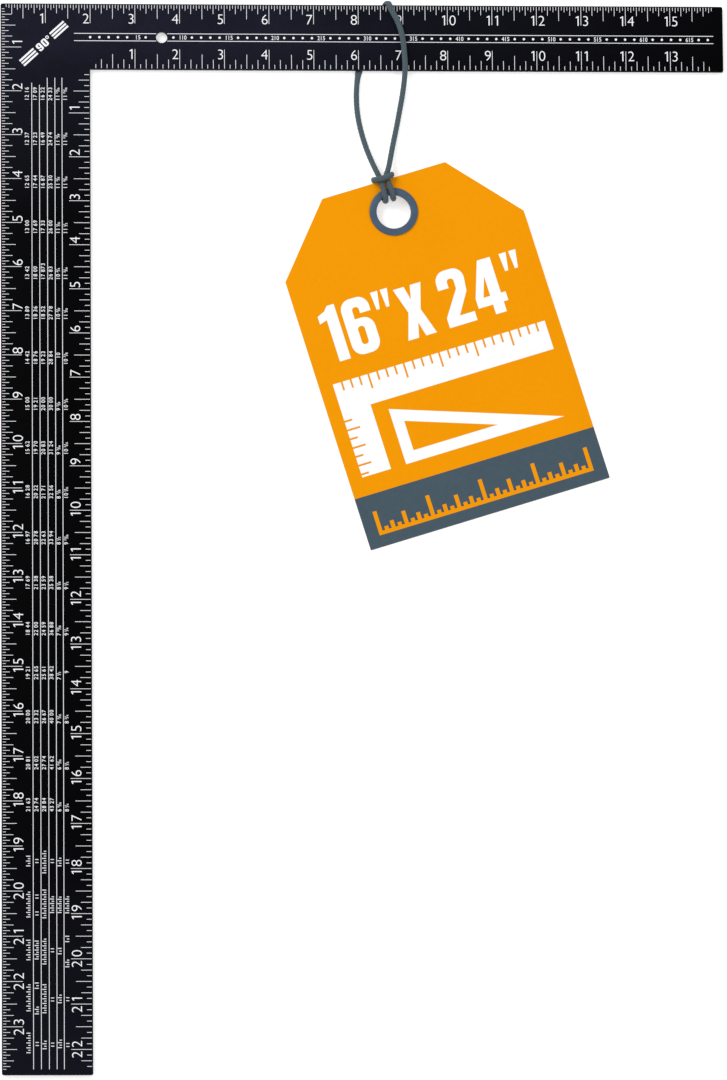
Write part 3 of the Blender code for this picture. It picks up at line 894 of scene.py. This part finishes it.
upper, upper_line, upper_length = loop.piece("cord_upper", seam_left, seam_right)
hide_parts("cord_wrap", "cord_strand_left", "cord_strand_right")
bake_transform(upper)
tuple(float(c) * MM for c in upper_line[0])
[[float(c) * MM for c in p] for p in upper_line[::3]] + [[float(c) * MM for c in upper_line[-1]]]
lower, lower_line, lower_length = loop.piece("cord_lower", seam_right, seam_left)
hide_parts("cord_hitch")
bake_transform(lower)
tuple(float(c) * MM for c in lower_line[0])
[[float(c) * MM for c in p] for p in lower_line[::3]] + [[float(c) * MM for c in lower_line[-1]]]
print("cord lengths mm", round(loop.length, 1), round(upper_length, 1), round(lower_length, 1))

# ---------------------------------------------------------------- the steel plate
PLATE_CORNERS = [(X0, Y1), (X0, Y0), (INNER_X, Y0), (INNER_X, INNER_Y), (X1, INNER_Y), (X1, Y1)]
points, faces, edges = slab(
    PLATE_CORNERS,
    [CORNER_RADIUS, CORNER_RADIUS, CORNER_RADIUS, 0.0, CORNER_RADIUS, CORNER_RADIUS],
    BOTTOM,
    TOP,
    EDGE_RADIUS,
    holes=[((HOLE_X, HOLE_Y), HOLE_RADIUS)],
)
# the rubbed edge is only the rounding, so the flat faces' own rim carries none of it
edges = [0.0 if abs(abs(p[2]) - TOP) < 1e-6 else e for p, e in zip(points, edges)]
plate = make_piece(
    "square_plate", points, faces, COATING, "square", smooth=24, data={"edge": ("FLOAT", edges)}
)
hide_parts("square_body")

# ---------------------------------------------------------------- the filled marks
MARK_LOW, MARK_HIGH = TOP - 0.012, TOP + 0.03
TICK = 0.27
EDGE_START = 0.65


def graduations(marks, origin, along, inward, per_inch, last, lengths, width=TICK, limit=None):
    """A scale's ticks, from the tick after origin to the last."""
    origin, along, inward = (np.array(v, float) for v in (origin, along, inward))
    for k in range(1, last + 1):
        share = k * 16 // per_inch
        if share % 16 == 0:
            size = lengths[4]
        elif share % 8 == 0:
            size = lengths[3]
        elif share % 4 == 0:
            size = lengths[2]
        elif share % 2 == 0:
            size = lengths[1]
        else:
            size = lengths[0]
        at = k * INCH / per_inch
        if limit:
            size = limit(at, size)
            if size is None:
                continue
        foot = origin + along * at
        marks.bar(foot + inward * EDGE_START, foot + inward * size, width)


def inch_figures(marks, origin, along, inward, base, right, up, last, height, gap, fine=True):
    """A figure by each inch tick: one on the side nearer the origin, two astride the tick."""
    origin, along, inward, right, up = (np.array(v, float) for v in (origin, along, inward, right, up))
    toward = -1.0 if right @ along > 0 else 1.0
    for n in range(1, last + 1):
        foot = origin + along * n * INCH + inward * base
        text = str(n)
        if len(text) == 1:
            width = figure(text, fine, "plain")[2] * height
            start = foot + right * (gap if toward > 0 else -gap - width)
            marks.figures(text, start, height, right, up, fine=fine)
            continue
        width = figure(text[0], fine, "plain")[2] * height
        astride = gap + (0.0 if text[0] == "1" else 0.35)
        marks.figures(text[0], foot - right * (astride + width), height, right, up, fine=fine)
        astride = gap + (0.0 if text[1] == "1" else 0.5)
        marks.figures(text[1], foot + right * astride, height, right, up, fine=fine)


def heel_limit(at, size):
    """Near the outer heel the two scales share the corner: the quarter ticks meet and the nearer ones are short."""
    if at > 6.4:
        return size
    if at > 6.3:
        return 6.35 + TICK / 2
    return min(size, at - 1.0) if at > 2.2 else None


def front_marks():
    east, west, north, south = (1, 0), (-1, 0), (0, 1), (0, -1)
    tongue_outer = Marks(MARK_LOW, MARK_HIGH)
    graduations(tongue_outer, (X0, Y1), east, south, 16, 16 * 15 + 15, (2.6, 3.65, 5.65, 8.7, 11.3), limit=heel_limit)
    inch_figures(tongue_outer, (X0, Y1), east, south, 11.55, east, north, 15, 5.7, 0.72)
    tongue_outer.piece("marks_tongue_outer", WHITE_PAINT)

    tongue_inner = Marks(MARK_LOW, MARK_HIGH)
    graduations(tongue_inner, (INNER_X, INNER_Y), east, north, 8, 8 * 13 + 7, (3.0, 3.0, 5.8, 8.85, 11.75))
    inch_figures(tongue_inner, (INNER_X, INNER_Y), east, north, 6.05, east, north, 13, 5.7, 0.82)
    tongue_inner.piece("marks_tongue_inner", WHITE_PAINT)

    blade_outer = Marks(MARK_LOW, MARK_HIGH)
    graduations(blade_outer, (X0, Y1), south, east, 16, 16 * 23 + 15, (2.4, 4.6, 6.6, 8.4, 11.7), limit=heel_limit)
    inch_figures(blade_outer, (X0, Y1), south, east, 12.3, north, west, 23, 5.7, 0.78)
    blade_outer.piece("marks_blade_outer", WHITE_PAINT)

    blade_inner = Marks(MARK_LOW, MARK_HIGH)
    graduations(blade_inner, (INNER_X, INNER_Y), south, west, 8, 8 * 22 + 3, (3.4, 3.4, 6.6, 9.5, 12.2))
    inch_figures(blade_inner, (INNER_X, INNER_Y), south, west, 6.1, north, west, 22, 5.7, 0.85)
    blade_inner.piece("marks_blade_inner", WHITE_PAINT)


def octagon_marks():
    """The octagon scale: a dot every 5.25 mm between two lines, each fifth one a figure."""
    marks = Marks(MARK_LOW, MARK_HIGH)
    for down in (17.3, 21.55):
        half = 3.1
        marks.bar((X0 + 41.6, Y1 - down), (HOLE_X - half, Y1 - down), 0.34)
        marks.bar((HOLE_X + half, Y1 - down), (X0 + 405.7, Y1 - down), 0.34)
    for k in range(68):
        x = X0 + 50.8 + k * 5.25
        if k in (7, 8):
            continue
        if k == 0 or k % 5:
            marks.dot((x, Y1 - 19.45), 0.68)
            continue
        marks.bar((x, Y1 - 18.2), (x, Y1 - 20.7), 0.3)
        base = Y1 - 20.68
        text = str(k)
        for ch, middle in zip(text, (1.6,) if len(text) == 1 else (-1.45, 1.55)):
            width = figure(ch, False, "small")[2] * 2.45 * 0.86
            marks.figures(ch, (x + middle - width / 2, base), 2.45, (1, 0), (0, 1), fine=False, stretch=0.86, kind="small")
    marks.piece("marks_octagon_scale", WHITE_PAINT)


ROW_BASES = (15.95, 20.55, 24.85, 29.15, 33.35, 37.6)
ROW_STARTS = (
    56.1, 82.2, 107.1, 133.1, 159.6, 182.6, 208.4, 234.8, 260.0, 285.2, 311.4, 337.0, 363.2, 388.2, 413.1, 439.2, 462.9,
)
# generic print in place of the legend's words: w is a run of short strokes as long as a word, d a ditto mark
LEGEND = (
    (("w", 487.7, 494.5), ("w", 508.0, 523.2), ("w", 535.0, 547.3), ("w", 560.0, 575.9), ("w", 587.1, 599.4)),
    (("d", 489.4, 492.8), ("d", 509.7, 512.5), ("d", 519.2, 522.0), ("w", 535.5, 546.8), ("w", 558.9, 563.4), ("w", 572.6, 577.6), ("d", 592.2, 595.5)),
    (("w", 484.9, 498.4), ("w", 506.8, 523.7), ("w", 534.4, 549.6), ("w", 560.0, 577.0), ("w", 591.6, 597.2)),
    (("d", 489.4, 492.8), ("w", 510.6, 520.7), ("d", 539.8, 542.8), ("d", 567.5, 570.3), ("d", 592.5, 595.9)),
    (("w", 488.8, 494.5), ("w", 510.8, 520.7), ("w", 539.5, 544.0), ("w", 565.8, 571.4), ("w", 591.0, 596.6)),
    (("d", 490.0, 492.8), ("w", 510.6, 520.9), ("w", 532.7, 537.2), ("w", 546.2, 551.2), ("d", 567.2, 570.3), ("d", 592.7, 596.1)),
)
ROW_HEIGHT = 2.3
PITCH = 1.82


def decimals(value):
    whole = int(value)
    part = int(round((value - whole) * 100))
    if part == 100:
        whole, part = whole + 1, 0
    return (str(whole), f"{part:02d}", "")


def sixteenths(value):
    total = int(round(value * 16))
    whole, part = divmod(total, 16)
    if not part:
        return (str(whole), "", "")
    below = 16
    while part % 2 == 0:
        part, below = part // 2, below // 2
    return (str(whole), str(part), str(below))


def rafter_marks():
    """The rafter table: five long lines, and six rows of figures worked out for each inch of rise."""
    lines = Marks(MARK_LOW, MARK_HIGH)
    for x, start in ((17.6, 46.2), (21.95, 47.3), (26.4, 43.15), (30.7, 43.15), (34.72, 43.15)):
        lines.bar((X0 + x, Y1 - start), (X0 + x, Y1 - 608.0), 0.33)
    lines.piece("marks_rafter_lines", WHITE_PAINT)

    right, up = (0.0, 1.0), (-1.0, 0.0)
    table = Marks(MARK_LOW, MARK_HIGH)
    for n, start in zip(range(2, 19), ROW_STARTS):
        common = math.sqrt(144 + n * n)
        hip = math.sqrt(288 + n * n)
        row_values = (
            decimals(common),
            decimals(hip),
            decimals(common * 16 / 12),
            decimals(common * 2),
            sixteenths(144 / common),
            sixteenths(12 * math.sqrt(288) / hip),
        )
        # two entries as such tables often carry them, a little off the sum
        if n == 2:
            row_values = (("12", "16", ""),) + row_values[1:]
        if n == 6:
            row_values = row_values[:2] + (("17", "873", ""),) + row_values[3:]
        for base, (whole, part, below) in zip(ROW_BASES, row_values):
            at = np.array((X0 + base, Y1 - start - 0.5))
            if not part:
                at = at + np.array(right) * 3.6
            used = table.figures(whole, at, ROW_HEIGHT, right, up, pitch=PITCH, fine=False, stretch=0.9, kind="small")
            at = at + np.array(right) * (used + 0.8)
            if not part:
                continue
            if not below:
                table.figures(part, at, ROW_HEIGHT, right, up, pitch=PITCH, fine=False, stretch=0.9, kind="small")
                continue
            small = 1.25
            used = table.figures(part, at + np.array(up) * (ROW_HEIGHT - small), small, right, up, gap=0.2, fine=False, kind="small")
            at = at + np.array(right) * (used + 0.12)
            table.bar(at, at + np.array(right) * 0.75 + np.array(up) * ROW_HEIGHT, 0.28)
            table.figures(below, at + np.array(right) * 0.85, small, right, up, gap=0.2, fine=False, kind="small")
    table.piece("marks_rafter_table", WHITE_PAINT)

    legend = Marks(MARK_LOW, MARK_HIGH)
    for base, entries in zip(ROW_BASES, LEGEND):
        x = X0 + base
        for kind, near, far in entries:
            if kind == "d":
                middle = (near + far) / 2
                for shift in (-0.85, 0.85):
                    legend.bar((x, Y1 - middle - shift), (x - ROW_HEIGHT * 0.8, Y1 - middle - shift), 0.42)
                continue
            count = max(2, int(round((far - near) / 1.3)))
            for k in range(count):
                y = Y1 - far + (far - near) * (k + 0.5) / count
                reach = ROW_HEIGHT if k % 2 == 0 else ROW_HEIGHT * 0.55
                legend.bar((x, y), (x - reach, y), 0.46)
    legend.piece("marks_rafter_legend", GREY_PAINT)


def heel_marks():
    """A plain 90 degree sign between two pairs of bars where the heel carries its print."""
    marks = Marks(MARK_LOW, MARK_HIGH)
    a = np.array((X0 + 13.6, Y1 - 36.6))
    b = np.array((X0 + 38.6, Y1 - 13.4))
    right = (b - a) / np.linalg.norm(b - a)
    up = np.array((-right[1], right[0]))
    span = float(np.linalg.norm(b - a))
    height, stretch = 4.7, 1.25
    wide = sum(figure(ch, True, "bold")[2] for ch in "90") * height * stretch + 0.16 * height + 2.3
    start = a + right * (span - wide) / 2
    long = marks.figures("90", start, height, right, up, gap=0.16, kind="bold", stretch=stretch)
    ring = start + right * (long + 1.45) + up * (height - 0.95)
    sides = 20
    turns = np.linspace(0, 2 * np.pi, sides, endpoint=False)
    outline = [tuple(ring + r * np.array((math.cos(t), math.sin(t)))) for r in (1.0, 0.5) for t in turns]
    marks.flat(outline, [(k, (k + 1) % sides, sides + (k + 1) % sides, sides + k) for k in range(sides)])
    reach = (span - wide) / 2 - 1.6
    for at in (a, b - right * reach):
        for rise, size in ((0.55, 1.1), (2.35, 1.1), (4.15, 1.1)):
            marks.bar(at + up * rise, at + right * reach + up * rise, size)
    marks.piece("marks_heel", WHITE_PAINT)


def back_marks():
    """The back isn't seen: plain eighths and inch figures on all four edges."""
    east, west, north, south = (1, 0), (-1, 0), (0, 1), (0, -1)
    marks = Marks(MARK_LOW, MARK_HIGH, turned=True)
    # turned over about Y, the heel is at the right and the tongue runs to the left
    graduations(marks, (-X0, Y1), west, south, 8, 8 * 15 + 7, (3.0, 3.0, 5.6, 8.6, 11.2), limit=lambda at, size: heel_limit(at, size))
    inch_figures(marks, (-X0, Y1), west, south, 11.55, east, north, 15, 5.7, 0.75, fine=False)
    graduations(marks, (-INNER_X, INNER_Y), west, north, 8, 8 * 13 + 7, (3.0, 3.0, 5.8, 8.85, 11.75))
    inch_figures(marks, (-INNER_X, INNER_Y), west, north, 6.05, east, north, 13, 5.7, 0.82, fine=False)
    graduations(marks, (-X0, Y1), south, west, 8, 8 * 23 + 7, (3.4, 3.4, 6.6, 8.6, 11.7), limit=lambda at, size: heel_limit(at, size))
    inch_figures(marks, (-X0, Y1), south, west, 12.3, south, east, 23, 5.7, 0.78, fine=False)
    graduations(marks, (-INNER_X, INNER_Y), south, east, 8, 8 * 22 + 3, (3.4, 3.4, 6.6, 9.5, 12.2))
    inch_figures(marks, (-INNER_X, INNER_Y), south, east, 6.1, south, east, 22, 5.7, 0.85, fine=False)
    marks.piece("marks_back", WHITE_PAINT)


front_marks()
octagon_marks()
rafter_marks()
heel_marks()
back_marks()

# ---------------------------------------------------------------- the tag
half, top_half = TAG_WIDTH / 2, TAG_TOP_WIDTH / 2
shoulder_v = EYELET_BELOW_TOP - TAG_SHOULDER
CARD_CORNERS = [
    (-top_half, EYELET_BELOW_TOP),
    (-half, shoulder_v),
    (-half, TAG_BOTTOM_V),
    (half, TAG_BOTTOM_V),
    (half, shoulder_v),
    (top_half, EYELET_BELOW_TOP),
]
points, faces, edges = slab(
    CARD_CORNERS,
    [0.6] * 6,
    -TAG_THICKNESS / 2,
    TAG_THICKNESS / 2,
    0.09,
    holes=[((0.0, 0.0), EYELET_BARREL_RADIUS + FIT_GAP)],
    round_steps=2,
)
card = make_piece("tag_card_board", points, faces, BOARD, "tag", smooth=40, place=ON_TAG)
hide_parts("tag_card")

FACE = TAG_THICKNESS / 2
BAND_V = TAG_BOTTOM_V + BAND_HEIGHT
INK = 0.02


def print_layer(name, corners, radii, material, low, high, holes=()):
    points, faces, _ = slab(corners, radii, low, high, 0.0, holes=holes)
    return make_piece(name, points, faces, material, "tag", place=ON_TAG)


inner = inset(CARD_CORNERS, 0.09)
orange_area = [inner[0], inner[1], (inner[1][0], BAND_V), (inner[4][0], BAND_V), inner[4], inner[5]]
band_area = [(inner[1][0], BAND_V), inner[2], inner[3], (inner[4][0], BAND_V)]
for side, sign in (("front", 1), ("back", -1)):
    low, high = sorted((sign * (FACE - 0.005), sign * (FACE + INK)))
    print_layer(
        f"tag_orange_{side}",
        orange_area,
        [0.5, 0.5, 0, 0, 0.5, 0.5],
        ORANGE_PRINT,
        low,
        high,
        holes=[((0.0, 0.0), 11.6)],
    )
    print_layer(f"tag_band_{side}", band_area, [0, 0.5, 0.5, 0], SLATE_PRINT, low, high)


def tag_print(side):
    """The white size figures and square-and-rafter sign, and the band's plain scale."""
    flip = side == "back"
    white = Marks(FACE + INK - 0.004, FACE + INK + 0.022, turned=flip)
    right, up = (1.0, 0.0), (0.0, 1.0)
    # the size, as on the front of any such tag
    height, top = 32.6, -40.5
    text = '16"x24"'
    gap = 0.085
    stretch = 1.0
    spots = []
    width = 0.0
    for ch in text:
        w = figure(ch, True, "bold")[2] * height
        spots.append((ch, width, w))
        width += w + gap * height * (3.0 if ch == "x" else 1.0)
    width -= gap * height
    stretch = 119.0 / width
    for ch, x, w in spots:
        base = top - height
        white.figures(ch, (-59.5 + x * stretch, base), height, right, up, stretch=stretch, kind="bold")
    # a framing square, with its graduations left open
    u0, u1, v0, v1 = -63.0, 63.0, -84.5, -140.0
    wide = 17.0
    # the long leg, cut by graduations along its upper edge
    step = 126.0 / 24
    sign = [(u0, v1), (u0 + wide, v1), (u0 + wide, v0 - wide), (u1, v0 - wide), (u1, v0)]
    for k in range(23, 0, -1):
        at, depth = u0 + k * step, 8.5 if k % 4 == 0 else 5.0
        sign += [(at + 0.55, v0), (at + 0.55, v0 - depth), (at - 0.55, v0 - depth), (at - 0.55, v0)]
    sign.append((u0, v0))
    # the short leg, cut along its outer edge
    k = 1
    while v0 - wide - k * step > v1 + 1.0:
        at, depth = v0 - wide - k * step, 7.5 if k % 2 == 0 else 4.5
        sign += [(u0, at + 0.55), (u0 + depth, at + 0.55), (u0 + depth, at - 0.55), (u0, at - 0.55)]
        k += 1
    white.flat(sign, cut_up(sign))
    # a rafter and its rise and run, under the long leg
    outer = [(-37.0, v1), (57.0, v1), (-37.0, v0 - wide - 5.5)]
    inner_tri = inset(outer, 6.4)
    white.flat(outer + inner_tri, [(0, 1, 4, 3), (1, 2, 5, 4), (2, 0, 3, 5)])
    white.piece(f"tag_white_{side}", WHITE_PRINT, "tag", "tag_card", place=ON_TAG)

    scale = Marks(FACE + INK - 0.004, FACE + INK + 0.022, turned=flip)
    count = 32
    rule = [(-63.55, -174.4), (63.55, -174.4)]
    for k in range(count, -1, -1):
        u = -62.4 + 124.8 * k / count
        reach = 14.0 if k % 8 == 0 else 9.6 if k % 4 == 0 else 6.4 if k % 2 == 0 else 4.2
        tooth = [(u + 1.15, -172.2), (u + 1.15, -174.4 + reach), (u - 1.15, -174.4 + reach), (u - 1.15, -172.2)]
        rule += tooth[1:] if k == count else tooth[:-1] if k == 0 else tooth
    scale.flat(rule, cut_up(rule))
    scale.piece(f"tag_scale_{side}", ORANGE_PRINT, "tag", "tag_card", place=ON_TAG)


tag_print("front")


# ---------------------------------------------------------------- the eyelet
def turned_ring(name, profile, material, segments=128):
    points, faces = [], []
    count = len(profile)
    for k in range(segments):
        turn = 2 * math.pi * k / segments
        for r, w in profile:
            points.append((r * math.cos(turn), r * math.sin(turn), w))
        for i in range(count):
            j = (i + 1) % count
            here, there = k * count, ((k + 1) % segments) * count
            faces.append((here + i, there + i, there + j, here + j))
    return make_piece(name, points, faces, material, "tag", smooth=38, place=ON_TAG)


def arc(centre, radius, first, last, steps):
    return [
        (
            centre[0] + radius * math.cos(math.radians(first + (last - first) * k / steps)),
            centre[1] + radius * math.sin(math.radians(first + (last - first) * k / steps)),
        )
        for k in range(steps + 1)
    ]


low_w = FACE + FIT_GAP
high_w = low_w + EYELET_FLANGE
HOLE, BARREL, FLANGE = EYELET_HOLE_RADIUS, EYELET_BARREL_RADIUS, EYELET_FLANGE_RADIUS
front_profile = (
    # down the bore, round the clenched foot, up the barrel
    [(HOLE, 0.6), (HOLE, -0.4)]
    + arc((HOLE + 0.3, -high_w + 0.3), 0.3, 180, 270, 4)
    + arc((BARREL - 0.25, -high_w + 0.25), 0.25, 270, 360, 4)
    + [(BARREL, -0.4), (BARREL, FACE + 0.12)]
    # out under the flange, resting on the card
    + [(BARREL + 0.25, FACE + 0.03), (FLANGE - 0.5, FACE + 0.03)]
    + arc((FLANGE - 0.42, FACE + 0.5), 0.42, -50, 90, 8)
    # a shallow dish across its top, and the rolled lip
    + [(FLANGE - 0.9, high_w - 0.16), (FLANGE - 1.6, high_w - 0.06), (BARREL + 0.6, high_w)]
    + arc((HOLE + 0.75, high_w - 0.75), 0.75, 90, 180, 8)[1:]
)
turned_ring("eyelet_flange", front_profile, RING_FRONT)
back_profile = (
    [(BARREL + 0.08, -high_w + 0.3), (BARREL + 0.35, -high_w + 0.04)]
    + arc((FLANGE - 0.4, -high_w + 0.4), 0.4, 270, 360, 6)
    + [(FLANGE, -FACE - 0.3), (FLANGE - 0.12, -FACE - 0.03), (BARREL + 0.25, -FACE - 0.03), (BARREL + 0.08, -FACE - 0.2)]
)
turned_ring("eyelet_washer", back_profile, RING_BACK)
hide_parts("eyelet_front")
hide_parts("eyelet_back")


# ---------------------------------------------------------------- floor, lights, world
def make_floor():
    n = Nodes("pale_floor", (0.93, 0.93, 0.93), 0.9)
    n.set("Specular IOR Level", 0.0)
    soft = n.ramp(n.noise(1.3, 2.0), [(0.3, 0.925), (0.7, 0.935)])
    n.link(soft, n.shader.inputs["Base Color"])
    n.set("Emission Color", (1.0, 1.0, 1.0, 1.0))
    n.set("Emission Strength", 0.38)
    size = 14.0
    mesh = bpy.data.meshes.new("floor")
    z = (TABLE_Z - 0.02) * MM
    mesh.from_pydata([(-size, -size, z), (size, -size, z), (size, size, z), (-size, size, z)], [], [(0, 1, 2, 3)])
    mesh.materials.append(n.material)
    floor = bpy.data.objects.new("floor", mesh)
    SCENE.collection.objects.link(floor)


def area_light(name, place, aim, size, power, colour=(1.0, 1.0, 1.0)):
    data = bpy.data.lights.new(name, "AREA")
    data.shape = "SQUARE"
    data.size = size
    data.energy = power
    data.color = colour
    lamp = bpy.data.objects.new(name, data)
    SCENE.collection.objects.link(lamp)
    lamp.location = place
    lamp.rotation_euler = (Vector(aim) - Vector(place)).to_track_quat("-Z", "Y").to_euler()
    return lamp


make_floor()
world = bpy.data.worlds.new("studio")
SCENE.world = world
world.use_nodes = True
world.node_tree.nodes["Background"].inputs["Color"].default_value = (1.0, 1.0, 1.0, 1.0)
world.node_tree.nodes["Background"].inputs["Strength"].default_value = 0.66
area_light("key", (-1.7, 1.5, 2.1), (0.0, 0.05, 0.0), 1.5, 48.0, (1.0, 0.995, 0.985))
area_light("fill", (1.9, -1.2, 1.9), (0.0, 0.0, 0.0), 1.8, 18.0, (0.97, 0.985, 1.0))
SCENE.view_settings.view_transform = "Standard"
SCENE.view_settings.look = "None"
SCENE.view_settings.exposure = 0.0
SCENE.view_settings.gamma = 1.0
